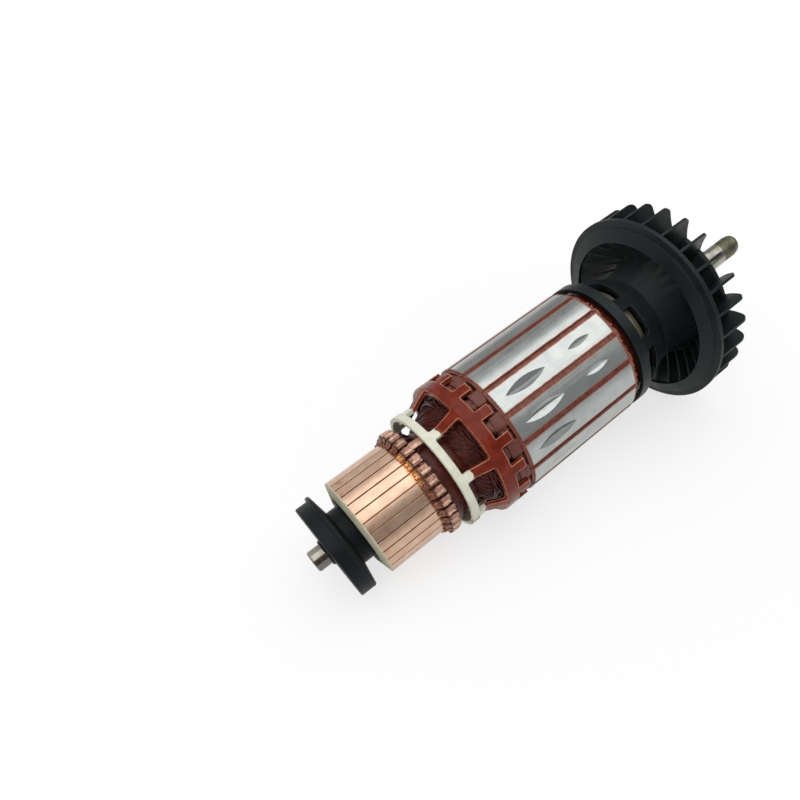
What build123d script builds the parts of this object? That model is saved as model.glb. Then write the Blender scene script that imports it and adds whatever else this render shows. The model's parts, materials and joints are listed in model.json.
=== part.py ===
from build123d import *
import math
import os

# Armature of a large hand grinder, lying on a table on its fan ring and its seal disc.
# Every piece is drawn on a level shaft first: x runs along the shaft from the commutator end,
# z is up. Angles round the shaft start at straight up and grow towards -y. Millimetres.

# Shaft
shaft_length = 221.0
journal_d = 8.0
seal_seat_d = 8.6
shaft_d = 12.0
fan_seat_d = 11.0
drive_seat_d = 10.2
drive_end_d = 9.2
drive_end_length = 17.5
thread_length = 10.5
thread_depth = 0.3
journal_chamfer = 0.5
tip_round = 2.4

# Seal disc on the commutator end
journal_length = 4.9
nose_length = 0.9
nose_d = 9.4
nose_slope = 0.45
rim_width = 4.6
rim_d = 36.7
rim_offset = 0.6
flange_width = 1.5
flange_d = 38.0
flange_back_length = 1.3
disc_hub_length = 4.3
disc_hub_d = 21.5
disc_lip_d = 26.4
disc_lip_width = 0.3
disc_chamfer = 0.35

# Commutator
bar_count = 30
commutator_d = 37.9
bar_depth = 4.7
brush_track_length = 24.0
base_cone_length = 1.2
base_collar_width = 0.25
base_face_d = 28.6
bar_gap_width = 0.45
undercut_depth = 0.8
hook_length = 4.3
hook_nose_length = 1.8
hook_width = 2.9
hook_thickness = 0.8
hook_wire_room = 1.1
hook_corner = 0.5

# Laminated core
core_d = 54.0
core_length = 51.8
slot_count = 15
slot_opening = 2.0
slot_lip_depth = 1.1
slot_shoulder = 0.8
slot_top_width = 5.0
slot_bottom_width = 2.3
slot_depth = 12.2
end_sheet_thickness = 1.0
end_sheet_setback = 0.6

# Balance pits milled into the teeth, each as length, width and depth
big_pit = (18.2, 4.5, 1.4)
small_pit = (10.6, 2.5, 0.6)
shallow_pit = (14.0, 2.6, 0.5)
commutator_side_pit_x = 13.3
drive_side_pit_x = 38.5

# Insulation and windings
liner_thickness = 0.35
liner_overhang = 2.2
sleeve_wall = 1.5
coil_overhang = 7.6
head_d = 40.8
head_slope = 9.0
head_round = 12.0
neck_slope = 1.6
coil_rise = 3.6
lead_band_length = 5.6
lead_band_d = 38.4
lead_neck_d = 31.6
rear_head_d = 47.6
rear_head_length = 8.4
rear_head_slope = 3.0

# Cage over the commutator side winding
strut_count = 8
cage_length = 18.1
cage_small_d = 47.4
cage_wall = 1.6
cage_ring_width = 2.9
cage_band_width = 5.1
cage_taper_start = 6.3
cage_taper_length = 7.4
strut_width = 3.5
cage_corner = 0.8
tab_length = 5.2
tab_width = 3.8
cage_gap = 3.4
cage_clearance = 0.3

# Distance between the commutator and the core, and between the core and the fan
winding_space = 29.4
fan_gap = 4.4

# Fan
blade_count = 27
blade_thickness = 1.0
blade_outer_d = 80.0
blade_tip_round = 3.4
blade_rake = 1.3
blade_setback = 0.2
blade_front_run = 11.0
blade_bend_d = 72.0
blade_bend_radius = 24.0
inlet_d = 65.2
shroud_d = 80.8
shroud_rise = 2.7
shroud_thickness = 1.5
shroud_step_d = 75.2
shroud_step = 0.6
collar_d = 53.6
collar_width = 4.2
collar_length = 19.6
collar_wall = 1.6
neck_d = 41.2
neck_step = 0.6
fan_length = 45.9
inlet_x = 25.0
back_plate_d = 59.0
back_plate_thickness = 1.8
hub_flare_length = 19.0
hub_web = 2.4
hub_pocket_wall = 2.0
hub_pocket_depth = 17.0
window_count = 9
window_turn = 29.0
window_width = 6.2
window_corner = 1.0
bush_d = 24.0
bush_length = 38.4
bush_flange_d = 41.0
bush_flange_width = 3.0

# Play between pieces that fit each other, how deep fused shapes run into each other, and how far
# a cutting shape runs past what it cuts
play = 0.05
overlap = 0.5
past = 1.0

# Angles round the shaft. The near side of the photograph faces this far from straight up.
facing_angle = 33.8
slot_angle = facing_angle + 0.8
bar_gap_angle = facing_angle - 0.2
blade_angle = facing_angle + 0.7
strut_angle = facing_angle + 21.5
window_angle = facing_angle + 4.0
rim_offset_angle = facing_angle + 95.0

# Places along the shaft and sizes that more than one piece shares
disc_face_x = journal_length + nose_length
flange_x = disc_face_x + rim_width
flange_end_x = flange_x + flange_width
disc_hub_x = flange_end_x + flange_back_length
base_x = disc_hub_x + disc_hub_length
bar_x = base_x + base_cone_length + base_collar_width
hook_x = bar_x + brush_track_length
bar_end_x = hook_x + hook_length
cage_x = bar_end_x + cage_gap
core_x = bar_end_x + winding_space
coil_x = core_x - coil_overhang
core_end_x = core_x + core_length
rear_coil_x = core_end_x + liner_overhang
fan_x = core_end_x + fan_gap
fan_end_x = fan_x + fan_length
bush_x = fan_end_x - bush_length
drive_end_x = shaft_length - drive_end_length
shroud_x = fan_x + inlet_x + shroud_rise

shaft_r = shaft_d / 2
sleeve_r = shaft_r + sleeve_wall
bar_r = commutator_d / 2
bar_inner_r = bar_r - bar_depth
core_r = core_d / 2
coil_inset = liner_thickness + 2 * play
coil_top_r = core_r - slot_lip_depth - coil_inset
bar_pitch = 360.0 / bar_count
slot_pitch = 360.0 / slot_count
bar_gap_turn = math.degrees(bar_gap_width / bar_r)


def turned(*points, turn=360.0, rounds=()):
    """Turns an outline of (x, radius) points round the shaft.

    Each round is (x, radius, size) for a corner of the outline. Less than a whole turn gives a
    slice whose middle is straight up.
    """
    outline = make_face(Polyline(*points, close=True))
    for x, radius, size in rounds:
        corner = outline.vertices().sort_by_distance((x, radius, 0))[0]
        outline = fillet(corner, size)
    return revolve(Plane.XZ * outline, Axis.X, turn).rotate(Axis.X, -turn / 2)


def round_that_fits(size, before, corner, after):
    """The size of a round at a corner of an outline, limited by the shorter of its two sides."""
    sides = [Vector(*point) - Vector(*corner) for point in (before, after)]
    half_turn = math.radians(180 - sides[0].get_angle(sides[1])) / 2
    return min(size, (min(side.length for side in sides) - play) / math.tan(half_turn))


def tube(x0, x1, inner_r, outer_r):
    return turned((x0, inner_r), (x0, outer_r), (x1, outer_r), (x1, inner_r))


def opening(turn, x0, x1, inner_r, outer_r, corner):
    """Cutter for a window in a round wall, with rounded corners."""
    block = turned((x0, inner_r), (x0, outer_r), (x1, outer_r), (x1, inner_r), turn=turn)
    sides = [face for face in block.faces().filter_by(GeomType.PLANE) if abs(face.normal_at().X) < 0.5]
    corners = [edge for face in sides for edge in face.edges() if abs((edge @ 1 - edge @ 0).X) < play]
    return fillet(corners, corner)


def at_angle(shape, angle):
    """Turns a piece drawn at straight up to its angle round the shaft."""
    return shape.rotate(Axis.X, angle)


def ring_of(shape, count, first_angle):
    """Copies of a shape all round the shaft."""
    return [at_angle(shape, first_angle + 360.0 / count * k) for k in range(count)]


def turn_of(width, radius):
    """The angle that a width takes up at a radius."""
    return math.degrees(width / radius)


def along_shaft(sketch, x0, x1):
    """Pushes a sketch drawn across the shaft, its y being the radius, from x0 to x1."""
    across = Plane(origin=(x0, 0, 0), x_dir=(0, 1, 0), z_dir=(1, 0, 0))
    return extrude(across * sketch, x1 - x0)


def make_shaft():
    seal_seat_r = seal_seat_d / 2
    fan_seat_r = fan_seat_d / 2
    seat_r = drive_seat_d / 2
    end_r = drive_end_d / 2
    thread_x = shaft_length - thread_length
    thread_r = end_r - thread_depth
    return turned(
        (0, 0),
        (0, journal_d / 2 - journal_chamfer),
        (journal_chamfer, journal_d / 2),
        (journal_length, journal_d / 2),
        (journal_length, seal_seat_r),
        (base_x, seal_seat_r),
        (base_x, shaft_r),
        (bush_x, shaft_r),
        (bush_x, fan_seat_r),
        (fan_end_x, fan_seat_r),
        (fan_end_x, seat_r),
        (drive_end_x, seat_r),
        (drive_end_x + seat_r - end_r, end_r),
        (thread_x, end_r),
        (thread_x, thread_r),
        (shaft_length, thread_r),
        (shaft_length, 0),
        rounds=[(shaft_length, thread_r, tip_round)],
    )


def make_seal_disc():
    """Dust seal pressed on the journal: a nose, a rim a little off centre, a flange and a hub."""
    bore_r = seal_seat_d / 2 + play
    flange_r = flange_d / 2
    hub_r = disc_hub_d / 2
    disc = turned(
        (journal_length, bore_r),
        (journal_length, nose_d / 2),
        (disc_face_x, nose_d / 2 + nose_slope),
        (flange_x, nose_d / 2 + nose_slope),
        (flange_x, flange_r - disc_chamfer),
        (flange_x + disc_chamfer, flange_r),
        (flange_end_x - disc_chamfer, flange_r),
        (flange_end_x, flange_r - disc_chamfer),
        (disc_hub_x, hub_r),
        (base_x - disc_lip_width, hub_r),
        (base_x - disc_lip_width, disc_lip_d / 2),
        (base_x, disc_lip_d / 2),
        (base_x, bore_r),
    )
    ring = Circle(rim_d / 2).moved(Location((0, rim_offset))) - Circle(bore_r)
    rim = along_shaft(ring, disc_face_x, flange_x + overlap)
    front_edge = rim.edges().filter_by(GeomType.CIRCLE).sort_by(SortBy.RADIUS)[-2:].sort_by(Axis.X)[0]
    return disc + at_angle(chamfer(front_edge, disc_chamfer), rim_offset_angle)


def make_commutator_base():
    """Moulded body under the bars, with a rib in each gap between two bars."""
    bore_r = shaft_r + play
    base = turned(
        (base_x, bore_r),
        (base_x, base_face_d / 2),
        (base_x + base_cone_length, bar_r),
        (bar_x, bar_r),
        (bar_x, bar_inner_r),
        (bar_end_x, bar_inner_r),
        (bar_end_x, bore_r),
    )
    rib = turned(
        (bar_x - overlap / 2, bar_inner_r - overlap),
        (bar_x - overlap / 2, bar_r - undercut_depth),
        (bar_end_x - overlap, bar_r - undercut_depth),
        (bar_end_x - overlap, bar_inner_r - overlap),
        turn=bar_gap_turn,
    )
    return base + ring_of(rib, bar_count, bar_gap_angle)


def make_bar():
    """One copper bar, its hook folded back over the room for its wire and pressed down."""
    under_r = bar_r + hook_wire_room
    top_r = under_r + hook_thickness
    wire_end_x = bar_end_x - hook_thickness
    body = turned(
        (bar_x, bar_inner_r),
        (bar_x, bar_r),
        (bar_end_x, bar_r),
        (bar_end_x, bar_inner_r),
        turn=bar_pitch - bar_gap_turn,
    )
    hook = turned(
        (hook_x - hook_nose_length, bar_r - overlap),
        (hook_x - hook_nose_length, bar_r),
        (hook_x, top_r),
        (bar_end_x - hook_corner, top_r),
        (bar_end_x, top_r - hook_corner),
        (bar_end_x, bar_r - overlap),
        turn=turn_of(hook_width, bar_r),
    )
    wire_room = turned(
        (hook_x, bar_r),
        (hook_x, under_r),
        (wire_end_x, under_r),
        (wire_end_x, bar_r),
        turn=bar_pitch,
    )
    return body + (hook - wire_room)


def slot_outline(inset):
    """Winding room of a slot below its lips, drawn across the shaft, smaller by the inset."""
    top_r = core_r - slot_lip_depth
    shoulder_r = top_r - slot_shoulder
    bottom_r = core_r - slot_depth
    half_top = slot_top_width / 2 - inset
    half_bottom = slot_bottom_width / 2 - inset
    half_mouth = slot_opening / 2 - inset
    return make_face(
        Polyline(
            (-half_mouth, top_r - inset),
            (half_mouth, top_r - inset),
            (half_top, shoulder_r - inset),
            (half_bottom, bottom_r + inset),
            (-half_bottom, bottom_r + inset),
            (-half_top, shoulder_r - inset),
            close=True,
        )
    )


def make_open_slot(x0, x1):
    """Cutter for the whole slot with its mouth, from one place along the shaft to another."""
    mouth_low_r = core_r - slot_lip_depth - slot_shoulder / 2
    mouth_high_r = core_r + past
    mouth = Rectangle(slot_opening, mouth_high_r - mouth_low_r)
    mouth = mouth.moved(Location((0, (mouth_high_r + mouth_low_r) / 2)))
    return along_shaft(Sketch() + slot_outline(0) + mouth, x0 - past, x1 + past)


def balance_pit(middle_x, angle, size):
    """Cutter for the almond mark that a wheel with a pointed rim leaves in a tooth."""
    length, width, depth = size
    wheel_r = (length * length / 4 + depth * depth) / (2 * depth)
    rim = make_face(
        Polyline((wheel_r, 0), (wheel_r - 2 * depth, width), (wheel_r - 2 * depth, -width), close=True)
    )
    wheel = revolve(rim, Axis.Y, 360)
    return at_angle(wheel.moved(Location((middle_x, 0, core_r - depth + wheel_r))), angle)


def make_core():
    core = tube(core_x, core_end_x, sleeve_r + play, core_r)
    core -= ring_of(make_open_slot(core_x, core_end_x), slot_count, slot_angle)
    near_x = core_x + commutator_side_pit_x
    far_x = core_x + drive_side_pit_x
    pits = [
        (-1, near_x, big_pit),
        (-1, far_x, small_pit),
        (0, near_x, big_pit),
        (0, far_x, small_pit),
        (1, near_x, big_pit),
        (2, near_x, shallow_pit),
    ]
    for tooth, middle_x, size in pits:
        core -= balance_pit(middle_x, slot_angle + slot_pitch * (tooth + 0.5), size)
    return core


def make_end_sheet(x0):
    """Fibre sheet on an end of the core, cut out round the liners."""
    x1 = x0 + end_sheet_thickness
    sheet = tube(x0, x1, sleeve_r + play, core_r - end_sheet_setback)
    return sheet - ring_of(make_open_slot(x0, x1), slot_count, slot_angle)


def make_slot_liner():
    x0 = core_x - liner_overhang
    x1 = core_end_x + liner_overhang
    outer = along_shaft(slot_outline(play), x0, x1)
    return outer - along_shaft(slot_outline(play + liner_thickness), x0 - past, x1 + past)


def make_slot_winding():
    """The wires of one slot, varnished into one bundle that comes out at both ends."""
    return along_shaft(slot_outline(coil_inset), coil_x, rear_coil_x)


def make_winding_head():
    """Commutator side end turns, with the neck of leads that runs to the hooks."""
    inner_r = sleeve_r + play
    lead_x = bar_end_x + play
    neck_end = (bar_end_x + lead_band_length, lead_neck_d / 2)
    shoulder = (neck_end[0] + head_slope, head_d / 2)
    shoulder_end = (coil_x - coil_rise, head_d / 2)
    return turned(
        (lead_x, inner_r),
        (lead_x, lead_band_d / 2),
        (neck_end[0] - neck_slope, lead_neck_d / 2),
        neck_end,
        shoulder,
        shoulder_end,
        (coil_x, coil_top_r - slot_shoulder),
        (coil_x, inner_r),
        rounds=[(*shoulder, round_that_fits(head_round, neck_end, shoulder, shoulder_end))],
    )


def make_rear_winding_head():
    inner_r = sleeve_r + play
    outer_r = rear_head_d / 2
    end_x = rear_coil_x + rear_head_length
    return turned(
        (rear_coil_x, inner_r),
        (rear_coil_x, outer_r),
        (end_x - rear_head_slope, outer_r),
        (end_x, outer_r - rear_head_slope),
        (end_x, inner_r),
    )


def make_cage():
    """Guard over the leads: two rings, struts between them and a tab over each tooth."""
    ring_end_x = cage_x + cage_ring_width
    taper_x = cage_x + cage_taper_start
    wide_x = taper_x + cage_taper_length
    end_x = cage_x + cage_length
    tab_end_x = end_x + tab_length
    small_r = cage_small_d / 2
    band_r = coil_top_r + cage_clearance
    large_r = band_r + cage_wall
    cage = turned(
        (cage_x, small_r - cage_wall),
        (cage_x, small_r),
        (taper_x, small_r),
        (wide_x, large_r),
        (tab_end_x, large_r),
        (tab_end_x, band_r),
        (wide_x, band_r),
        (taper_x, small_r - cage_wall),
    )
    low_r = small_r - cage_wall - past
    high_r = large_r + past
    window = opening(
        360.0 / strut_count - turn_of(strut_width, small_r),
        ring_end_x,
        end_x - cage_band_width,
        low_r,
        high_r,
        cage_corner,
    )
    notch = turned(
        (end_x, low_r),
        (end_x, high_r),
        (tab_end_x + past, high_r),
        (tab_end_x + past, low_r),
        turn=slot_pitch - turn_of(tab_width, large_r),
    )
    cage -= ring_of(window, strut_count, strut_angle + 180.0 / strut_count)
    return cage - ring_of(notch, slot_count, slot_angle)


def make_fan_bush():
    """Metal bush in the hub of the fan, its flange towards the windings."""
    bore_r = fan_seat_d / 2 + play
    flange_r = bush_flange_d / 2
    flange_end_x = bush_x + bush_flange_width
    return turned(
        (bush_x, bore_r),
        (bush_x, flange_r),
        (flange_end_x, flange_r),
        (flange_end_x, bush_d / 2),
        (fan_end_x, bush_d / 2),
        (fan_end_x, bore_r),
    )


def make_blade_section(root_r, tip_r):
    """One blade seen along the shaft: straight at the rim and bent where air comes in."""
    half = blade_thickness / 2
    bend_r = blade_bend_d / 2
    straight = Rectangle(blade_thickness, tip_r - bend_r + overlap)
    straight = straight.moved(Location((0, (tip_r + bend_r - overlap) / 2)))
    ring = Circle(blade_bend_radius + half) - Circle(blade_bend_radius - half)
    ring = ring.moved(Location((-blade_bend_radius, bend_r)))
    reach = Rectangle(blade_bend_radius + past, bend_r - root_r)
    reach = reach.moved(Location(((past - blade_bend_radius) / 2, (bend_r + root_r) / 2)))
    return straight + (ring & reach)


def make_fan():
    """Fan in one moulding: a windowed collar, a hub flaring into a plate, blades and a shroud."""
    neck_r = neck_d / 2
    hub_r = neck_r - neck_step
    collar_r = collar_d / 2
    plate_r = back_plate_d / 2
    tip_r = blade_outer_d / 2
    inlet_r = inlet_d / 2
    shroud_r = shroud_d / 2
    step_r = shroud_step_d / 2
    bore_r = bush_d / 2 + play
    collar_end_x = fan_x + collar_width
    neck_x = fan_x + collar_length
    web_x = neck_x - hub_web
    inlet_face_x = fan_x + inlet_x
    step_x = inlet_face_x + shroud_rise * (step_r - inlet_r) / (shroud_r - inlet_r)
    plate_x = fan_end_x - back_plate_thickness

    hub = turned(
        (fan_x, collar_r - collar_wall),
        (fan_x, collar_r),
        (collar_end_x, collar_r),
        (neck_x, neck_r),
        (neck_x, hub_r),
        (plate_x, hub_r),
        (plate_x, plate_r),
        (fan_end_x, plate_r),
        (fan_end_x, bore_r),
        (web_x, bore_r),
        (web_x, neck_r - collar_wall),
        (collar_end_x, collar_r - collar_wall),
    )
    flare_x = plate_x - hub_flare_length
    flare_side = Polyline(
        (plate_x, plate_r), (plate_x, hub_r - overlap), (flare_x, hub_r - overlap), (flare_x, hub_r)
    )
    flare = make_face(flare_side + TangentArc((flare_x, hub_r), (plate_x, plate_r), tangent=(1, 0)))
    hub += revolve(Plane.XZ * flare, Axis.X)
    window = opening(
        window_turn, collar_end_x, collar_end_x + window_width, neck_r, collar_r + past, window_corner
    )
    hub -= ring_of(window, window_count, window_angle)
    hub -= tube(
        fan_end_x - hub_pocket_depth,
        fan_end_x + past,
        bore_r + hub_pocket_wall,
        hub_r - hub_pocket_wall,
    )

    shroud = turned(
        (inlet_face_x, inlet_r),
        (step_x, step_r),
        (step_x + shroud_step, step_r),
        (shroud_x, shroud_r),
        (shroud_x + shroud_thickness, shroud_r),
        (inlet_face_x + shroud_thickness, inlet_r),
    )

    root_r = hub_r - overlap
    side = make_face(
        Polyline(
            (inlet_face_x + shroud_thickness + blade_front_run, root_r),
            (inlet_face_x + shroud_thickness / 2, inlet_r),
            (shroud_x + shroud_thickness / 2, tip_r),
            (fan_end_x - blade_rake, tip_r),
            (fan_end_x - blade_setback, plate_r - overlap),
            (plate_x + overlap, plate_r - overlap),
            (plate_x + overlap, root_r),
            close=True,
        )
    )
    tip = side.vertices().sort_by_distance((fan_end_x - blade_rake, tip_r, 0))[0]
    side = extrude(Plane.XZ * fillet(tip, blade_tip_round), blade_bend_radius, both=True)
    section = make_blade_section(root_r, tip_r)
    blade = along_shaft(section, inlet_face_x, fan_end_x) & side
    return hub + shroud + ring_of(blade, blade_count, blade_angle)


pieces = {}
pieces["armature_shaft"] = make_shaft()
pieces["shaft_sleeve"] = tube(bar_end_x + play, bush_x - play, shaft_r + play, sleeve_r)
pieces["seal_disc"] = make_seal_disc()
pieces["commutator_base"] = make_commutator_base()
for number, bar in enumerate(ring_of(make_bar(), bar_count, bar_gap_angle + bar_pitch / 2), 1):
    pieces[f"commutator_bar_{number:02d}"] = bar
pieces["core_stack"] = make_core()
pieces["end_sheet_commutator"] = make_end_sheet(core_x - end_sheet_thickness)
pieces["end_sheet_drive"] = make_end_sheet(core_end_x)
for number, liner in enumerate(ring_of(make_slot_liner(), slot_count, slot_angle), 1):
    pieces[f"slot_liner_{number:02d}"] = liner
pieces["slot_windings"] = Compound(ring_of(make_slot_winding(), slot_count, slot_angle))
pieces["winding_head_commutator"] = make_winding_head()
pieces["winding_head_drive"] = make_rear_winding_head()
pieces["winding_cage"] = make_cage()
pieces["fan_bush"] = make_fan_bush()
pieces["cooling_fan"] = make_fan()

# The armature lies on the rim of the fan shroud and on the flange of the seal disc.
flange_low_x = flange_end_x - disc_chamfer
tilt = math.degrees(math.atan2((shroud_d - flange_d) / 2, shroud_x - flange_low_x))
lying = {name: piece.rotate(Axis.Y, -tilt) for name, piece in pieces.items()}
box = Compound(list(lying.values())).bounding_box()
move = Location((-box.center().X, -box.center().Y, -box.min.Z))

os.makedirs("parts", exist_ok=True)
for name, piece in lying.items():
    export_step(piece.moved(move), f"parts/{name}.step")
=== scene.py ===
import json
import math
import random

import bmesh
import bpy
from mathutils import Matrix, Vector, noise


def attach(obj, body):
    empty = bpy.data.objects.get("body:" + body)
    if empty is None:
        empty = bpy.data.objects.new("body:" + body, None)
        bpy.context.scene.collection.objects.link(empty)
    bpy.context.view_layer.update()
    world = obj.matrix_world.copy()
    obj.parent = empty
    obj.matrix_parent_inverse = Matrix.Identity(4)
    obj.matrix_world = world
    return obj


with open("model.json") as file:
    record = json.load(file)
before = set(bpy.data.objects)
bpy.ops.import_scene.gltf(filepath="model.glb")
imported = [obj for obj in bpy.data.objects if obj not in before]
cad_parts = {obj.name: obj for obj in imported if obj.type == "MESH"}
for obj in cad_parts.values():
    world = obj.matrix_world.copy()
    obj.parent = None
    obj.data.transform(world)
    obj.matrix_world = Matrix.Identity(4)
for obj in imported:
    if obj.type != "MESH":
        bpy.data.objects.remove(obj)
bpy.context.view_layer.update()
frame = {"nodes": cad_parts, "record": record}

# Everything is placed in the armature's own space: x along the shaft from the commutator end, and
# angles round the shaft from its upper side towards -y. The record's mount at the tip of the drive
# end says where that space lies. Sizes are in millimetres and angles in degrees. The facing angle
# is that of the side that faces the camera.
mm = 0.001
shaft_length = 221.0
neck_x = 52.85
fan_end_x = 178.75
facing_angle = 33.8

bar_count = 30
bar_pitch = 360.0 / bar_count
bar_gap_angle = facing_angle - 0.2
bar_radius = 18.95
bar_start_x = 18.95
bar_end_x = 47.25
track_end_x = 41.15
hook_x = 42.95
hook_top_radius = 20.85
wire_room_radius = 19.5

slot_count = 15
slot_pitch = 360.0 / slot_count
slot_angle = facing_angle + 0.8
slot_opening = 2.0
core_radius = 27.0
core_x = 76.65
core_end_x = 128.45

thread_x = 210.5
thread_end_x = 218.4
thread_core_radius = 4.3

tip_mount = next(m for m in frame["record"]["mounts"] if m["name"] == "drive_thread")
along = Vector(tip_mount["axis"]).normalized()
across = Vector((0, 1, 0))
raised = along.cross(across)
shaft_start = Vector(tip_mount["pos_m"]) - along * shaft_length * mm


def spot(x, radius, angle, side=0.0):
    """A place in the scene from a place along the shaft, a radius, an angle and a step sideways."""
    turn = math.radians(angle)
    out = raised * math.cos(turn) - across * math.sin(turn)
    sideways = raised * math.sin(turn) + across * math.cos(turn)
    return shaft_start + (along * x + out * radius + sideways * side) * mm


def colour(red, green, blue):
    """A colour for a shader, from the values from 0 to 255 that are seen."""

    def linear(value):
        value /= 255
        return value / 12.92 if value <= 0.04045 else ((value + 0.055) / 1.055) ** 2.4

    return (linear(red), linear(green), linear(blue), 1.0)


class Finish:
    """A material and short ways to add nodes to it."""

    def __init__(self, name, roughness=0.5, metallic=0.0, gloss=0.5):
        self.material = bpy.data.materials.new(name)
        self.material.use_nodes = True
        self.nodes = self.material.node_tree.nodes
        self.links = self.material.node_tree.links
        self.shader = self.nodes["Principled BSDF"]
        self.set("Roughness", roughness)
        self.set("Metallic", metallic)
        self.set("Specular IOR Level", gloss)
        space = self.nodes.new("ShaderNodeGroup")
        space.node_tree = shaft_space()
        self.x = space.outputs["X"]
        self.radius = space.outputs["Radius"]
        self.angle = space.outputs["Angle"]
        self.place = space.outputs["Place"]
        self.unrolled = space.outputs["Unrolled"]

    def set(self, name, value):
        self.put(self.shader.inputs[name], value)

    def put(self, socket, value):
        if isinstance(value, bpy.types.NodeSocket):
            self.links.new(value, socket)
        else:
            socket.default_value = value

    def math(self, operation, first, second=0.0, third=0.0):
        node = self.nodes.new("ShaderNodeMath")
        node.operation = operation
        for socket, value in zip(node.inputs, (first, second, third)):
            self.put(socket, value)
        return node.outputs[0]

    def times(self, first, second):
        return self.math("MULTIPLY", first, second)

    def plus(self, first, second):
        return self.math("ADD", first, second)

    def most(self, *values):
        result = values[0]
        for value in values[1:]:
            result = self.math("MAXIMUM", result, value)
        return result

    def fade(self, value, low, high, start=0.0, end=1.0):
        """From start to end, smoothly, as the value goes from low to high."""
        node = self.nodes.new("ShaderNodeMapRange")
        node.interpolation_type = "SMOOTHSTEP"
        self.put(node.inputs["Value"], value)
        self.put(node.inputs["From Min"], low)
        self.put(node.inputs["From Max"], high)
        self.put(node.inputs["To Min"], start)
        self.put(node.inputs["To Max"], end)
        return node.outputs["Result"]

    def between(self, value, low, high, soft):
        """One between low and high, nothing outside them."""
        above_low = self.fade(value, low - soft, low + soft)
        below_high = self.fade(value, high - soft, high + soft, 1.0, 0.0)
        return self.times(above_low, below_high)

    def noise(self, vector, scale, detail=3.0, distortion=0.0):
        node = self.nodes.new("ShaderNodeTexNoise")
        self.put(node.inputs["Vector"], vector)
        node.inputs["Scale"].default_value = scale
        node.inputs["Detail"].default_value = detail
        node.inputs["Distortion"].default_value = distortion
        return node.outputs["Fac"]

    def streaks(self, vector, scales, detail=3.0, distortion=0.0):
        """Noise with its own scale along each of the three directions."""
        node = self.nodes.new("ShaderNodeMapping")
        self.put(node.inputs["Vector"], vector)
        node.inputs["Scale"].default_value = scales
        return self.noise(node.outputs[0], 1.0, detail, distortion)

    def vary(self, noise_value, start, end):
        """From start to end over the middle of a noise."""
        return self.fade(noise_value, 0.3, 0.7, start, end)

    def ramp(self, noise_value, dark, light, spread=0.2):
        """From dark to light over the middle of a noise, as far as the spread on either side."""
        node = self.nodes.new("ShaderNodeValToRGB")
        self.put(node.inputs["Fac"], noise_value)
        first, last = node.color_ramp.elements
        first.position = 0.5 - spread
        first.color = dark
        last.position = 0.5 + spread
        last.color = light
        return node.outputs["Color"]

    def mix(self, factor, first, second):
        """From the first colour to the second as the factor goes from nothing to one."""
        node = self.nodes.new("ShaderNodeMix")
        node.data_type = "RGBA"
        first_colour = 6
        second_colour = 7
        mixed_colour = 2
        self.put(node.inputs["Factor"], factor)
        self.put(node.inputs[first_colour], first)
        self.put(node.inputs[second_colour], second)
        return node.outputs[mixed_colour]

    def bevel(self, reach):
        node = self.nodes.new("ShaderNodeBevel")
        node.samples = 6
        node.inputs["Radius"].default_value = reach * mm
        return node.outputs["Normal"]

    def round_edges(self, reach):
        """Softens the shading of the edges; comes before any bump."""
        self.set("Normal", self.bevel(reach))

    def edges(self, reach):
        """One on the edges of the piece, nothing away from them."""
        edge_likeness = 0.82
        flat_likeness = 0.97
        likeness = self.nodes.new("ShaderNodeVectorMath")
        likeness.operation = "DOT_PRODUCT"
        self.put(likeness.inputs[0], self.bevel(reach))
        self.put(likeness.inputs[1], self.nodes.new("ShaderNodeNewGeometry").outputs["Normal"])
        return self.fade(likeness.outputs["Value"], edge_likeness, flat_likeness, 1.0, 0.0)

    def bump(self, height, depth):
        """Relief of the given depth in millimetres; calls add up."""
        node = self.nodes.new("ShaderNodeBump")
        node.inputs["Strength"].default_value = 1.0
        node.inputs["Distance"].default_value = depth * mm
        self.put(node.inputs["Height"], height)
        normal = self.shader.inputs["Normal"]
        if normal.is_linked:
            self.links.new(normal.links[0].from_socket, node.inputs["Normal"])
        self.links.new(node.outputs[0], normal)


def shaft_space():
    """Node group that gives the place in the armature's space, in millimetres and degrees."""
    name = "shaft_space"
    if name in bpy.data.node_groups:
        return bpy.data.node_groups[name]
    group = bpy.data.node_groups.new(name, "ShaderNodeTree")
    kinds = {"X": "Float", "Radius": "Float", "Angle": "Float", "Place": "Vector", "Unrolled": "Vector"}
    for output, kind in kinds.items():
        group.interface.new_socket(output, in_out="OUTPUT", socket_type=f"NodeSocket{kind}")
    out = group.nodes.new("NodeGroupOutput")
    start = group.nodes.new("ShaderNodeTexCoord").outputs["Object"]

    def vector_math(operation, first, second):
        node = group.nodes.new("ShaderNodeVectorMath")
        node.operation = operation
        group.links.new(first, node.inputs[0])
        node.inputs[1].default_value = second
        return node.outputs["Value" if operation == "DOT_PRODUCT" else "Vector"]

    def number(operation, first, second):
        node = group.nodes.new("ShaderNodeMath")
        node.operation = operation
        for socket, value in zip(node.inputs, (first, second)):
            if isinstance(value, float):
                socket.default_value = value
            else:
                group.links.new(value, socket)
        return node.outputs[0]

    def joined(*values):
        node = group.nodes.new("ShaderNodeCombineXYZ")
        for socket, value in zip(node.inputs, values):
            group.links.new(value, socket)
        return node.outputs[0]

    local = vector_math("SUBTRACT", start, shaft_start)
    x, y, z = (vector_math("DOT_PRODUCT", local, axis / mm) for axis in (along, across, raised))
    radius = number("SQRT", number("ADD", number("MULTIPLY", y, y), number("MULTIPLY", z, z)), 0.0)
    turn = number("ARCTAN2", number("MULTIPLY", y, -1.0), z)
    group.links.new(x, out.inputs["X"])
    group.links.new(radius, out.inputs["Radius"])
    group.links.new(number("MULTIPLY", turn, math.degrees(1.0)), out.inputs["Angle"])
    group.links.new(joined(x, y, z), out.inputs["Place"])
    group.links.new(joined(x, number("MULTIPLY", turn, core_radius), radius), out.inputs["Unrolled"])
    return group


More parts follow.
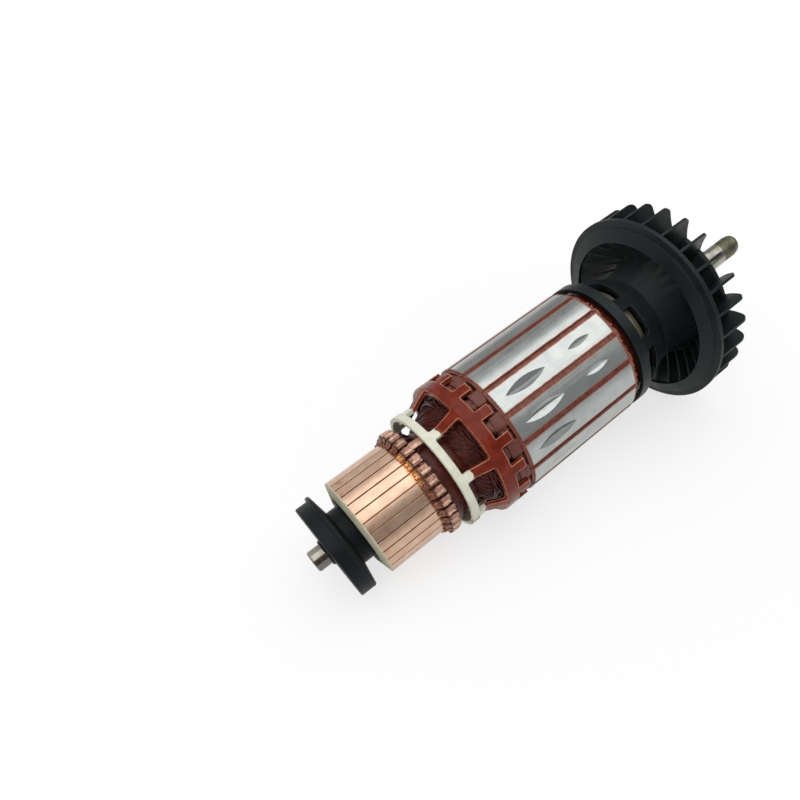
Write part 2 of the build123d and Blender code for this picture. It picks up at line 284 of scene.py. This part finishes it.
def shaft_steel():
    """Ground steel, bright on the seats, olive on the thread, with a painted dark reflection band along
    one side, brown and strongest on the journal, and painted grey shade on the underside before the fan.
    """
    f = Finish("shaft_steel", metallic=1.0)
    reflection_band_start = facing_angle - 4
    reflection_band_end = facing_angle + 26
    underside_end = facing_angle + 130
    rings = f.streaks(f.place, (14.0, 0.2, 0.2), detail=4.0)
    cloud = f.noise(f.place, 0.3, detail=5.0)
    bright = f.ramp(cloud, colour(138, 134, 124), colour(172, 169, 158))
    dull = f.ramp(cloud, colour(92, 91, 74), colour(128, 127, 108))
    dark_reflection = f.ramp(cloud, colour(56, 46, 34), colour(92, 82, 68))

    before_fan = f.fade(f.x, fan_end_x - 4.0, fan_end_x, 1.0, 0.0)
    reflection_strength = f.fade(f.x, fan_end_x - 4.0, fan_end_x, 0.95, 0.35)
    # Painted reflection: a dark brown band along one side of the shaft, strongest on the journal.
    darkening = f.times(f.between(f.angle, reflection_band_start, reflection_band_end, soft=4), reflection_strength)
    # Painted shade: the underside of the shaft before the fan turns grey.
    underside_shade = f.times(f.between(f.angle, reflection_band_end, underside_end, soft=8), before_fan)
    on_thread = f.fade(f.x, thread_x - 0.6, thread_x + 0.4)
    shade = f.mix(darkening, bright, dark_reflection)
    shade = f.mix(f.times(underside_shade, 0.75), shade, colour(98, 95, 93))
    f.round_edges(0.25)
    f.set("Base Color", f.mix(on_thread, shade, dull))
    f.set("Roughness", f.plus(f.vary(rings, 0.2, 0.34), f.times(on_thread, 0.12)))
    f.bump(rings, 0.006)
    return f.material


def bush_steel():
    """Turned steel that stays in the shade of the fan."""
    f = Finish("bush_steel", metallic=0.7)
    rings = f.streaks(f.place, (8.0, 0.3, 0.3), detail=4.0)
    f.set("Base Color", f.ramp(rings, colour(128, 122, 100), colour(172, 166, 140)))
    f.set("Roughness", f.vary(rings, 0.35, 0.5))
    f.bump(rings, 0.01)
    return f.material


def hook_colour(f, spots):
    """Sides darkened as painted shade, and pressed tops that have a brown face beside a fold made paler as
    a painted highlight.
    """
    fold_start = 5.8
    # Painted shade: the hook sides under the top are darker.
    sides = f.ramp(spots, colour(92, 52, 40), colour(134, 86, 70))
    faces = f.ramp(spots, colour(146, 104, 88), colour(188, 146, 128))
    # Painted highlight: the fold is paler than the face beside it.
    highlit_folds = f.ramp(spots, colour(184, 144, 124), colour(220, 182, 160))
    in_bar = f.math("WRAP", f.plus(f.angle, -bar_gap_angle), bar_pitch, 0.0)
    is_fold = f.fade(f.plus(in_bar, spots), fold_start + 0.1, fold_start + 0.9)
    is_top = f.fade(f.radius, hook_top_radius - 0.15, hook_top_radius + 0.15)
    return f.mix(is_top, sides, f.mix(is_fold, faces, highlit_folds))


def flux_colour(f, spots):
    """Burnt flux, brown round the commutator, with a painted highlight of brighter orange on the upper
    side.
    """
    orange = f.ramp(spots, colour(176, 108, 62), colour(232, 172, 112), spread=0.15)
    brown = f.ramp(spots, colour(88, 48, 36), colour(150, 94, 72), spread=0.15)
    # Painted highlight: the brighter orange colour only on the upper, lit side.
    return f.mix(f.between(f.angle, facing_angle - 34, facing_angle + 2, soft=7), brown, orange)


def copper():
    """Skimmed copper, with stains at the hooks where the flux and the varnish ran."""
    f = Finish("bar_copper")
    turning = f.streaks(f.place, (9.0, 0.12, 0.12), detail=5.0)
    cloud = f.noise(f.unrolled, 0.22, detail=5.0)
    spots = f.noise(f.unrolled, 0.9)
    dirt = f.streaks(f.unrolled, (0.6, 0.8, 0.0), detail=4.0)

    at_front = f.fade(f.x, bar_start_x + 1.5, bar_start_x + 6.0, 1.0, 0.0)
    thumbed = f.between(f.angle, facing_angle - 62, facing_angle - 30, soft=6)
    front_stain = f.times(f.times(at_front, f.fade(cloud, 0.5, 0.62)), f.plus(f.times(thumbed, 0.45), 0.4))
    darkening = f.most(f.fade(dirt, 0.62, 0.74, 0.0, 0.35), front_stain)
    skimmed = f.ramp(cloud, colour(194, 158, 134), colour(218, 186, 162), spread=0.25)
    shade = f.mix(darkening, skimmed, colour(168, 112, 74))

    is_hook = f.fade(f.x, track_end_x + 0.6, hook_x)
    is_tip = f.between(f.plus(f.x, f.times(spots, 1.6)), track_end_x + 0.2, hook_x + 0.7, soft=0.4)
    # Painted shade in the gap between the hook tips and the hooks.
    gap_shade = f.between(f.x, hook_x - 0.3, hook_x + 0.35, soft=0.2)
    shade = f.mix(is_hook, shade, hook_colour(f, spots))
    shade = f.mix(f.times(is_tip, 0.9), shade, flux_colour(f, spots))
    shade = f.mix(f.times(gap_shade, 0.85), shade, colour(84, 44, 32))

    is_side = f.fade(f.radius, bar_radius - 0.5, bar_radius - 0.1, 0.85, 0.0)
    shade = f.mix(is_side, shade, colour(150, 98, 62))
    behind_hook = f.fade(f.x, bar_end_x - 0.4, bar_end_x + 0.5)
    below_top = f.fade(f.radius, hook_top_radius - 0.25, hook_top_radius - 0.05, 1.0, 0.0)
    in_varnish = f.times(behind_hook, below_top)
    f.round_edges(0.2)
    f.set("Base Color", f.mix(in_varnish, shade, colour(52, 20, 15)))
    f.set("Metallic", f.plus(f.plus(1.0, f.times(is_hook, -0.35)), f.times(in_varnish, -0.6)))
    f.set("Roughness", f.plus(f.vary(turning, 0.28, 0.32), f.times(is_hook, 0.12)))
    f.bump(f.times(spots, is_hook), 0.2)
    return f.material


def ground_core():
    """Ground sheet steel with brick red varnish drawn along the edges of the slots."""
    f = Finish("core_steel", metallic=1.0)
    half_length = (core_end_x - core_x) / 2
    half_pitch = slot_pitch / 2
    degree_on_rim = math.radians(core_radius)
    grinding = f.streaks(f.unrolled, (0.05, 1.4, 0.5), detail=5.0)
    sheets = f.streaks(f.unrolled, (6.0, 0.08, 0.5))
    cut = f.streaks(f.unrolled, (0.25, 4.0, 4.0))
    cloud = f.noise(f.unrolled, 0.18, detail=4.0)
    wander = f.times(f.streaks(f.unrolled, (0.35, 1.2, 1.0)), 0.7)

    turn = f.math("WRAP", f.plus(f.angle, -slot_angle), half_pitch, -half_pitch)
    from_slot = f.plus(f.times(f.math("ABSOLUTE", turn), degree_on_rim), -slot_opening / 2)
    from_varnish = f.plus(from_slot, f.times(wander, -1.0))
    from_middle = f.plus(f.math("ABSOLUTE", f.plus(f.x, -(core_x + half_length))), wander)
    edge = f.fade(from_varnish, -0.4, 0.1, 0.9, 0.0)
    end = f.fade(from_middle, half_length - 0.2, half_length + 0.4, 0.0, 0.85)
    inside = f.fade(f.radius, core_radius - 1.6, core_radius - 1.2, 1.0, 0.0)
    varnish = f.most(edge, end, inside)

    rim = f.between(from_varnish, -0.2, 0.15, soft=0.15)
    milled = f.fade(f.radius, core_radius - 0.12, core_radius - 0.04, 1.0, 0.0)
    in_pit = f.times(milled, f.fade(from_slot, 0.9, 1.3))
    steel = f.ramp(cloud, colour(162, 166, 165), colour(182, 185, 181), spread=0.25)
    steel = f.mix(f.times(rim, 0.35), steel, colour(186, 128, 106))
    steel = f.mix(f.times(in_pit, f.fade(cut, 0.35, 0.6, 0.3, 0.0)), steel, colour(120, 122, 122))
    red = f.ramp(grinding, colour(106, 41, 28), colour(154, 76, 54))
    f.set("Base Color", f.mix(varnish, steel, red))
    f.set("Metallic", f.fade(varnish, 0.2, 0.8, 1.0, 0.1))
    f.set("Roughness", f.plus(f.vary(grinding, 0.22, 0.34), f.times(varnish, 0.08)))
    f.bump(sheets, 0.004)
    f.bump(grinding, 0.005)
    return f.material


def dark_plastic(name, dark, light, paler_edge, roughness, gloss):
    """Moulded plastic with a fine grain, slightly uneven gloss and paler edges."""
    f = Finish(name, gloss=gloss)
    cloud = f.noise(f.place, 0.12, detail=4.0)
    grain = f.noise(f.place, 2.2)
    # The edges are given a paler colour.
    at_edge = f.times(f.edges(0.35), f.fade(cloud, 0.35, 0.6, 0.5, 0.9))
    f.round_edges(0.3)
    f.set("Base Color", f.mix(at_edge, f.ramp(cloud, dark, light), paler_edge))
    f.set("Roughness", f.vary(cloud, roughness - 0.06, roughness + 0.08))
    f.bump(grain, 0.02)
    return f.material


def base_moulding():
    """Cream-green moulding, brown with copper dust in the grooves between the bars."""
    f = Finish("base_moulding", roughness=0.6, gloss=0.3)
    cloud = f.noise(f.place, 0.3, detail=4.0)
    grain = f.noise(f.place, 2.2)
    cream = f.ramp(cloud, colour(190, 186, 158), colour(212, 208, 182))
    dust = f.ramp(grain, colour(166, 112, 70), colour(206, 154, 106))
    in_groove = f.fade(f.x, bar_start_x - 0.1, bar_start_x + 0.3)
    f.set("Base Color", f.mix(in_groove, cream, dust))
    f.bump(grain, 0.03)
    return f.material


def varnished(name, dark, light, roughness, relief, gloss, coil_shade=None):
    """Insulation or wires under a thick coat of varnish, maybe of another shade before the core."""
    f = Finish(name, gloss=gloss)
    runs = f.streaks(f.unrolled, (0.5, 0.25, 0.4), distortion=0.6)
    fine = f.noise(f.unrolled, 1.4)
    shade = f.ramp(f.plus(f.times(runs, 0.6), f.times(fine, 0.4)), dark, light, spread=0.15)
    if coil_shade:
        before_core = f.fade(f.x, core_x - 0.9, core_x - 0.3, 0.8, 0.0)
        shade = f.mix(before_core, shade, coil_shade)
    f.set("Base Color", shade)
    f.set("Roughness", f.vary(fine, roughness, roughness + 0.15))
    f.bump(runs, relief)
    f.bump(fine, relief * 0.25)
    return f.material


def cage_plastic():
    """Cream plastic, brick red where the varnish dip reached it, paler along the edges, partly where the
    varnish is thin and partly as a painted highlight.
    """
    f = Finish("cage_plastic", gloss=0.16)
    dip_x = 56.3
    drip_start = facing_angle + 71
    drip_end = facing_angle + 86
    cloud = f.noise(f.unrolled, 0.25, detail=4.0)
    fine = f.noise(f.unrolled, 1.1)
    cream = f.ramp(cloud, colour(204, 204, 184), colour(222, 222, 206))
    red = f.ramp(cloud, colour(94, 28, 15), colour(120, 42, 25))
    # Paler edges: partly thin varnish over the cream, partly a painted highlight.
    paler_edge = f.times(f.edges(0.85), f.fade(cloud, 0.35, 0.55, 0.6, 1.0))
    red = f.mix(paler_edge, red, colour(228, 158, 124))

    wander = f.times(f.plus(f.noise(f.unrolled, 0.16, detail=2.0), -0.5), 5.0)
    below_line = f.fade(f.plus(f.x, wander), dip_x - 0.2, dip_x + 0.2)
    drip = f.times(f.between(f.angle, drip_start, drip_end, soft=3), f.fade(fine, 0.42, 0.5))
    dipped = f.most(below_line, f.times(drip, 0.9))
    f.round_edges(0.5)
    f.set("Base Color", f.mix(dipped, cream, red))
    f.set("Roughness", f.fade(dipped, 0.0, 1.0, 0.5, 0.2))
    f.bump(fine, 0.03)
    f.bump(cloud, 0.3)
    f.bump(dipped, 0.25)
    return f.material


finishes = {
    "shaft_steel": shaft_steel(),
    "bush_steel": bush_steel(),
    "core_steel": ground_core(),
    "bar_copper": copper(),
    "seal_plastic": dark_plastic(
        "seal_plastic",
        dark=colour(13, 16, 18),
        light=colour(22, 26, 29),
        paler_edge=colour(50, 57, 62),
        roughness=0.46,
        gloss=0.14,
    ),
    "fan_plastic": dark_plastic(
        "fan_plastic",
        dark=colour(12, 18, 20),
        light=colour(21, 28, 30),
        paler_edge=colour(62, 70, 71),
        roughness=0.44,
        gloss=0.2,
    ),
    "base_moulding": base_moulding(),
    "cage_plastic": cage_plastic(),
    "red_insulation": varnished(
        "red_insulation",
        dark=colour(98, 42, 30),
        light=colour(150, 90, 70),
        roughness=0.4,
        relief=0.12,
        gloss=0.4,
        coil_shade=colour(92, 44, 36),
    ),
    "winding_varnish": varnished(
        "winding_varnish",
        dark=colour(52, 16, 10),
        light=colour(92, 36, 26),
        roughness=0.24,
        relief=0.2,
        gloss=0.22,
    ),
}

slot_of = {part["node"]: part["material_slot"] for part in frame["record"]["subparts"]}
for name, node in frame["nodes"].items():
    node.data.materials.clear()
    node.data.materials.append(finishes[slot_of[name]])


def cut_cube(cuts):
    """Points and faces of a cube from -1 to 1 with its sides cut into squares."""
    work = bmesh.new()
    bmesh.ops.create_cube(work, size=2.0)
    bmesh.ops.subdivide_edges(work, edges=work.edges[:], cuts=cuts, use_grid_fill=True)
    work.verts.index_update()
    points = [vert.co.copy() for vert in work.verts]
    faces = [tuple(vert.index for vert in face.verts) for face in work.faces]
    work.free()
    return points, faces


lump_points, lump_faces = cut_cube(cuts=6)


class Shape:
    """Collects the points and faces of one mesh."""

    def __init__(self):
        self.points = []
        self.faces = []

    def add(self, points, faces):
        first = len(self.points)
        self.points.extend(points)
        self.faces.extend(tuple(first + k for k in face) for face in faces)

    def wire(self, path, radius, sides=6):
        """A round wire along a path of points, closed at both ends."""
        last = len(path) - 1
        normal = (path[1] - path[0]).orthogonal().normalized()
        points = []
        for k, place in enumerate(path):
            tangent = (path[min(k + 1, last)] - path[max(k - 1, 0)]).normalized()
            normal = (normal - tangent * normal.dot(tangent)).normalized()
            beside = tangent.cross(normal)
            for step in range(sides):
                turn = 2 * math.pi * step / sides
                points.append(place + (normal * math.cos(turn) + beside * math.sin(turn)) * radius * mm)
        faces = [tuple(reversed(range(sides))), tuple(range(last * sides, (last + 1) * sides))]
        for k in range(last):
            for step in range(sides):
                here = k * sides + step
                beyond = k * sides + (step + 1) % sides
                faces.append((here, beyond, beyond + sides, here + sides))
        self.add(points, faces)

    def ring(self, rows):
        """A ring from rows of points that each go once round the shaft, closed along them too."""
        steps = len(rows[0])
        faces = []
        for k in range(len(rows)):
            here = k * steps
            beyond = (k + 1) % len(rows) * steps
            for step in range(steps):
                beside = (step + 1) % steps
                faces.append((here + step, here + beside, beyond + beside, beyond + step))
        self.add([place for row in rows for place in row], faces)

    def lump(self, x, radius, angle, size, squareness, uneven, seed):
        """A closed block or blob; size is along the shaft, round it and outwards."""
        length, width, height = size
        noise_scale = 1.3
        noise_shift = Vector((seed * 7.1, seed * 3.7, seed))
        points = []
        for corner in lump_points:
            reach = sum(abs(c) ** squareness for c in corner) ** (1 / squareness)
            place = corner / reach
            place *= 1 + uneven * noise.noise(place * noise_scale + noise_shift)
            side = place.y * width / 2
            points.append(spot(x + place.x * length / 2, radius + place.z * height / 2, angle, side))
        self.add(points, lump_faces)

    def piece(self, name, slot_name):
        """Makes the finished piece, with the finish of its slot, riding on the armature."""
        mesh = bpy.data.meshes.new(name)
        mesh.from_pydata(self.points, [], self.faces)
        mesh.shade_smooth()
        mesh.materials.append(finishes[slot_name])
        piece = bpy.data.objects.new(name, mesh)
        bpy.context.scene.collection.objects.link(piece)
        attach(piece, "root")


def about(chance, middle, spread):
    """A random number at most the spread away from the middle."""
    return middle + chance.uniform(-spread, spread)


# Places along the shaft and radii of the winding head at the commutator side
head_outline = ((47.3, 19.2), (51.25, 15.8), (neck_x, 15.8), (61.85, 20.4), (65.45, 20.4), (69.05, 24.6))


def head_radius(x):
    """Radius of that winding head at a place along the shaft."""
    for (x0, r0), (x1, r1) in zip(head_outline, head_outline[1:]):
        if x <= x1:
            return r0 + (r1 - r0) * max(0.0, x - x0) / (x1 - x0)
    return head_outline[-1][1]


def make_leads():
    """Wires of the winding head on their way to the hooks, side by side under the varnish."""
    shape = Shape()
    chance = random.Random(11)
    lead_count = 84
    wire_radius = 0.42
    start_x = 67.2
    end_x = 54.0
    twist = -40.0
    sway = 0.3
    smoothing = 1.5
    steps = 22
    for k in range(lead_count):
        start_angle = about(chance, 360.0 * k / lead_count, 1.0)
        turn = about(chance, twist, 9.0)
        lift = chance.uniform(-0.24, 0.06)
        path = []
        for step in range(steps + 1):
            t = step / steps
            x = start_x + (end_x - start_x) * t
            radii = [head_radius(x + offset) for offset in (-smoothing, 0.0, smoothing)]
            angle = start_angle + turn * (t - sway * math.sin(math.pi * t) ** 2)
            path.append(spot(x, sum(radii) / len(radii) + lift, angle))
        shape.wire(path, wire_radius)
    shape.piece("lead_wires", "winding_varnish")


def make_end_turns():
    """Arcs of wire from slot to slot over the head, a few from each slot."""
    shape = Shape()
    chance = random.Random(5)
    wires_per_slot = 6
    wire_radius = 0.4
    wire_step = 1.5
    start_x = 70.6
    start_radius = 24.4
    least_reach = 3.4
    reach_step = 0.9
    least_lift = 0.1
    lift_step = 0.1
    span = 6 * slot_pitch
    steps = 30
    for slot in range(slot_count):
        for wire in range(wires_per_slot):
            start = slot_angle + slot * slot_pitch + (wire - (wires_per_slot - 1) / 2) * wire_step
            reach = about(chance, least_reach + wire * reach_step, 0.4)
            lift = least_lift + wire * lift_step + chance.uniform(-0.1, 0.15)
            path = []
            for step in range(steps + 1):
                t = step / steps
                rise = math.sin(math.pi * t) ** 0.7
                x = start_x - reach * rise
                low = head_radius(x) + lift
                radius = start_radius * (1 - rise) + low * rise
                path.append(spot(x, radius, start + span * t))
            shape.wire(path, wire_radius)
    shape.piece("end_turns", "winding_varnish")


def make_neck_varnish():
    """Varnish that filled the neck between the hooks and the front ring, thickest on one side."""
    shape = Shape()
    thick_angle = facing_angle + 50
    inner_radius = 15.1
    low_radius = 15.7
    thin_radius = 15.6
    thick_radius = 19.3
    thin_lean = 0.35
    thick_lean = 0.7
    wave_radius = 18.0
    wave_scale = 0.25
    wave_height = 0.25
    fill_x = 58.2
    fill_radius = 18.7
    fill_size = (6.0, 5.0, 3.6)
    steps = 96
    # Places along the shaft and how much of the varnish's thickness is there
    fullness = {45.6: 0.7, 46.4: 1.0, 48.0: 1.0, 50.0: 1.0, 53.5: 1.0, 55.5: 1.0, 57.5: 0.85, 59.5: 0.4}
    angles = [360.0 * step / steps for step in range(steps)]

    def outer_radius(x, angle):
        lean = math.cos(math.radians(angle - thick_angle)) * 0.5 + 0.5
        spread = min(1.0, max(0.0, (lean - thin_lean) / (thick_lean - thin_lean)))
        smooth = spread * spread * (3 - 2 * spread)
        waves = wave_height * noise.noise(spot(x, wave_radius, angle) / mm * wave_scale)
        return thin_radius + (thick_radius - thin_radius) * smooth + waves

    rows = [
        [spot(x, low_radius + (outer_radius(x, angle) - low_radius) * part, angle) for angle in angles]
        for x, part in fullness.items()
    ]
    for x in (max(fullness), min(fullness)):
        rows.append([spot(x, inner_radius, angle) for angle in angles])
    shape.ring(rows)
    for angle in (112, 124, 136):
        shape.lump(fill_x, fill_radius, angle, fill_size, squareness=2.5, uneven=0.3, seed=angle)
    shape.piece("neck_varnish", "winding_varnish")


def make_hook_wires():
    """The end of a lead under each hook: in through one gap, out over the next lead."""
    shape = Shape()
    wire_radius = 0.48
    # Places along the shaft, radii and angles from the middle of the hook
    stops = (
        (50.2, 16.6, -8.5),
        (48.8, 18.3, -7.2),
        (47.2, 19.2, -6.2),
        (45.6, wire_room_radius, -5.6),
        (44.6, wire_room_radius, -2.8),
        (44.3, wire_room_radius, 0.0),
        (44.6, wire_room_radius, 2.8),
        (45.4, 19.6, 5.2),
        (46.8, 19.6, 6.2),
        (48.4, 18.6, 6.6),
        (50.0, 16.8, 6.0),
    )
    for bar in range(bar_count):
        middle = bar_gap_angle + bar_pitch * (bar + 0.5)
        path = [spot(x, radius, middle + turn) for x, radius, turn in stops]
        shape.wire(path, wire_radius, sides=8)
    shape.piece("hook_wires", "bar_copper")


def make_lead_strip():
    """A flat insulated lead that leaves the hooks and goes under the front ring of the cage."""
    shape = Shape()
    strip_angle = 3.0
    size = (3.2, 2.9, 0.9)
    for x, radius in ((47.6, 21.1), (50.0, 20.9), (52.4, 20.3)):
        shape.lump(x, radius, strip_angle, size, squareness=5.0, uneven=0.12, seed=x)
    shape.piece("lead_strip", "bar_copper")


def make_hook_tips():
    """The tips of the hooks, fused and squeezed down on the bars."""
    shape = Shape()
    chance = random.Random(3)
    tip_x = 41.8
    tip_radius = 19.35
    for bar in range(bar_count):
        middle = bar_gap_angle + bar_pitch * (bar + 0.5)
        for side in (-2.1, 1.9):
            size = (chance.uniform(1.2, 2.0), chance.uniform(1.0, 1.5), chance.uniform(1.0, 1.7))
            angle = about(chance, middle + side, 0.6)
            x = about(chance, tip_x, 0.25)
            shape.lump(x, tip_radius, angle, size, squareness=3.0, uneven=0.4, seed=bar + side)
    shape.piece("hook_tips", "bar_copper")


def make_hook_tops():
    """The pressed tops of the hooks: a flat face and beside it the fold that stands a little higher."""
    shape = Shape()
    chance = random.Random(8)
    face_x = 45.5
    face_radius = 20.4
    fold_x = 44.9
    fold_radius = 20.5
    side = 1.8
    for bar in range(bar_count):
        middle = about(chance, bar_gap_angle + bar_pitch * (bar + 0.5), 0.4)
        face = (chance.uniform(3.0, 3.5), chance.uniform(1.8, 2.1), chance.uniform(1.5, 1.8))
        fold = (chance.uniform(3.6, 4.1), chance.uniform(1.0, 1.3), chance.uniform(2.0, 2.3))
        x = about(chance, face_x, 0.2)
        shape.lump(x, face_radius, middle - side, face, squareness=5.0, uneven=0.25, seed=bar + 40)
        x = about(chance, fold_x, 0.2)
        shape.lump(x, fold_radius, middle + side, fold, squareness=4.0, uneven=0.3, seed=bar + 80)
    shape.piece("hook_tops", "bar_copper")


def make_coil_ends():
    """Square varnished end of the coils at each slot."""
    shape = Shape()
    chance = random.Random(21)
    coil_x = 73.6
    coil_radius = 24.0
    for slot in range(slot_count):
        angle = about(chance, slot_angle + slot * slot_pitch, 0.8)
        size = (chance.uniform(4.6, 5.2), chance.uniform(5.2, 5.9), 4.8)
        x = coil_x + chance.uniform(-0.3, 0.2)
        shape.lump(x, coil_radius, angle, size, squareness=9.0, uneven=0.14, seed=slot)
    shape.piece("coil_ends", "red_insulation")


def make_run_varnish():
    """Varnish that ran together between the coils, the cage and the core."""
    shape = Shape()
    chance = random.Random(9)
    lump_count = 60
    back_x = 73.9
    front_x = 70.4
    run_radius = 23.9
    for k in range(lump_count):
        angle = about(chance, slot_angle + 360.0 * k / lump_count, 1.5)
        size = (chance.uniform(3.6, 5.0), chance.uniform(3.2, 4.4), 3.6)
        x = back_x + chance.uniform(-0.6, 0.5)
        radius = about(chance, run_radius, 0.5)
        shape.lump(x, radius, angle, size, squareness=3.0, uneven=0.5, seed=k)
    for slot in range(slot_count):
        angle = about(chance, slot_angle + slot * slot_pitch, 1.0)
        size = (chance.uniform(3.6, 4.2), chance.uniform(5.0, 5.8), 3.8)
        x = about(chance, front_x, 0.2)
        shape.lump(x, run_radius, angle, size, squareness=3.0, uneven=0.35, seed=slot + 100)
    shape.piece("run_varnish", "red_insulation")


def make_fringe():
    """Varnished bits of insulation that stand out at the drive end of the core."""
    shape = Shape()
    chance = random.Random(14)
    bit_count = 96
    bit_x = core_end_x + 0.9
    bit_radius = 25.7
    for k in range(bit_count):
        angle = about(chance, slot_angle + 360.0 * k / bit_count, 1.0)
        size = (chance.uniform(0.9, 2.2), chance.uniform(0.9, 1.8), chance.uniform(0.9, 1.5))
        shape.lump(bit_x, bit_radius, angle, size, squareness=4.0, uneven=0.6, seed=k)
    shape.piece("insulation_fringe", "red_insulation")


def make_thread():
    """Worn thread on the drive end."""
    shape = Shape()
    pitch = 1.25
    ridge_radius = 0.24
    start_x = thread_x + 0.5
    end_x = thread_end_x - 0.1
    steps_per_turn = 36
    path = []
    for k in range(int((end_x - start_x) / pitch * steps_per_turn) + 1):
        turns = k / steps_per_turn
        path.append(spot(start_x + pitch * turns, thread_core_radius - 0.03, 360.0 * turns))
    shape.wire(path, ridge_radius)
    shape.piece("thread_ridge", "shaft_steel")


make_leads()
make_end_turns()
make_neck_varnish()
make_hook_wires()
make_lead_strip()
make_hook_tips()
make_hook_tops()
make_coil_ends()
make_run_varnish()
make_fringe()
make_thread()


def floor_finish():
    """White floor that keeps the shadow near the object and turns plain white further off."""
    f = Finish("floor", roughness=0.9)
    shadow_reach = 0.08
    white_from = 0.2
    least_white = 0.7
    f.set("Base Color", colour(246, 246, 246))
    path = f.nodes.new("ShaderNodeLightPath")
    seen = f.most(*(path.outputs[f"Is {kind} Ray"] for kind in ("Camera", "Glossy", "Transmission")))
    away = f.nodes.new("ShaderNodeVectorMath")
    away.operation = "LENGTH"
    f.put(away.inputs[0], f.nodes.new("ShaderNodeTexCoord").outputs["Object"])
    whiteness = f.fade(away.outputs["Value"], shadow_reach, white_from, least_white, 1.0)
    blend = f.nodes.new("ShaderNodeMixShader")
    f.put(blend.inputs[0], f.times(seen, whiteness))
    f.put(blend.inputs[1], f.shader.outputs[0])
    f.put(blend.inputs[2], f.nodes.new("ShaderNodeEmission").outputs[0])
    f.put(f.nodes["Material Output"].inputs["Surface"], blend.outputs[0])
    return f.material


def make_floor():
    """Square floor under the armature, in metres."""
    half = 6.0
    corners = [(x * half, y * half, 0) for x, y in ((-1, -1), (1, -1), (1, 1), (-1, 1))]
    mesh = bpy.data.meshes.new("floor")
    mesh.from_pydata(corners, [], [(0, 1, 2, 3)])
    mesh.materials.append(floor_finish())
    floor = bpy.data.objects.new("floor", mesh)
    bpy.context.scene.collection.objects.link(floor)


def make_room():
    """Grey surroundings, a little darker near the horizon than higher up."""
    world = bpy.data.worlds.new("room")
    world.use_nodes = True
    nodes = world.node_tree.nodes
    links = world.node_tree.links
    height = nodes.new("ShaderNodeSeparateXYZ")
    links.new(nodes.new("ShaderNodeTexCoord").outputs["Generated"], height.inputs[0])
    sky = nodes.new("ShaderNodeValToRGB")
    low, high = sky.color_ramp.elements
    low.position = 0.0
    low.color = (0.33, 0.335, 0.34, 1.0)
    high.position = 0.5
    high.color = (0.42, 0.42, 0.42, 1.0)
    links.new(height.outputs["Z"], sky.inputs["Fac"])
    links.new(sky.outputs["Color"], nodes["Background"].inputs["Color"])
    bpy.context.scene.world = world


def add_lamp(name, place, aim_at, width, depth, brightness):
    """A soft box of that brightness that looks from its place to a point, in metres."""
    data = bpy.data.lights.new(name, "AREA")
    data.shape = "RECTANGLE"
    data.size = width
    data.size_y = depth
    data.energy = brightness * math.pi * width * depth
    lamp = bpy.data.objects.new(name, data)
    bpy.context.scene.collection.objects.link(lamp)
    lamp.location = place
    lamp.rotation_euler = (Vector(aim_at) - Vector(place)).to_track_quat("-Z", "Y").to_euler()


def make_camera():
    """The camera of the photo, fitted to it as a pinhole camera; its place is in metres."""
    place = Vector((-0.13265, -0.12516, 0.20345))
    azimuth = math.radians(41.23)
    elevation = math.radians(50.08)
    roll = math.radians(0.10)
    image_px = 800
    focal_length_px = 634.55
    centre_px = (507.0, 458.6)

    data = bpy.data.cameras.new("camera")
    data.sensor_width = 36.0
    data.lens = focal_length_px / image_px * data.sensor_width
    data.shift_x = (image_px / 2 - centre_px[0]) / image_px
    data.shift_y = (centre_px[1] - image_px / 2) / image_px
    data.clip_start = 0.01
    camera = bpy.data.objects.new("camera", data)
    bpy.context.scene.collection.objects.link(camera)
    ahead = Vector((math.sin(azimuth), math.cos(azimuth), 0)) * math.cos(elevation)
    down = Vector((0, 0, -math.sin(elevation)))
    level = (ahead + down).to_track_quat("-Z", "Y").to_matrix()
    camera.matrix_world = Matrix.Translation(place) @ (level @ Matrix.Rotation(roll, 3, "Z")).to_4x4()
    bpy.context.scene.camera = camera


make_floor()
make_room()
add_lamp("overhead", (0.12, -0.036, 0.85), (0.12, 0.0, 0.03), width=1.3, depth=1.08, brightness=1.5)
add_lamp("commutator_side", (-0.75, -0.3, 0.4), (-0.05, 0.0, 0.03), width=0.6, depth=0.6, brightness=1.4)
add_lamp("far_side", (-0.1, 0.5, 0.29), (-0.08, 0.0, 0.03), width=0.36, depth=0.5, brightness=0.4)
make_camera()
bpy.context.scene.view_settings.view_transform = "Standard"
